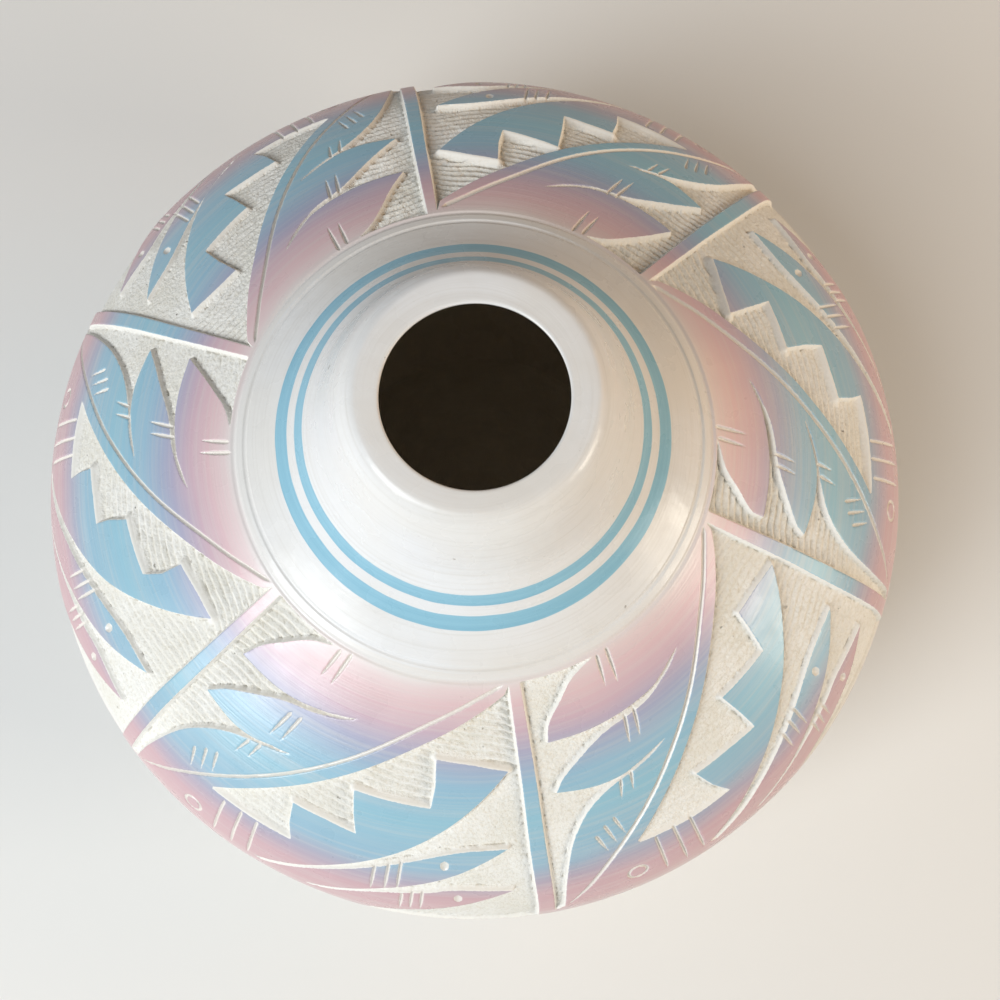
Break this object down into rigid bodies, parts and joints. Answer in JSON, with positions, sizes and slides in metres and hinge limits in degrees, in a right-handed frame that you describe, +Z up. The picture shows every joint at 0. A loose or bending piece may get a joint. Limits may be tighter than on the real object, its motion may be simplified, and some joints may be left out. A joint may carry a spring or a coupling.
{
  "type": "pottery vase",
  "caption": "Squat round pottery vase with a wide carved shoulder, a short neck with painted rings, a thick rolled lip and a small mouth.",
  "frame": {"origin": "centre of the flat base, on the surface that the vase stands on", "axes": "+Z up along the vase's axis of turning; +X and +Y are free, set by the picture's right and up"},
  "size_m": [0.2496, 0.25, 0.1646],
  "materials": {
    "bare_clay": "matt unglazed fired clay, ivory, lightly pitted",
    "white_slip": "burnished off-white slip with a soft sheen and fine turning lines",
    "painted_slip": "sprayed pink, lilac and pale blue bands on slip, carved through to matt ivory clay"
  },
  "bodies": {
    "root": {"base_slab": "bare_clay", "lower_bowl": "white_slip", "lower_belly": "white_slip", "upper_belly": "white_slip", "shoulder": "painted_slip", "neck": "white_slip", "rolled_lip": "white_slip"}
  },
  "joints": []
}
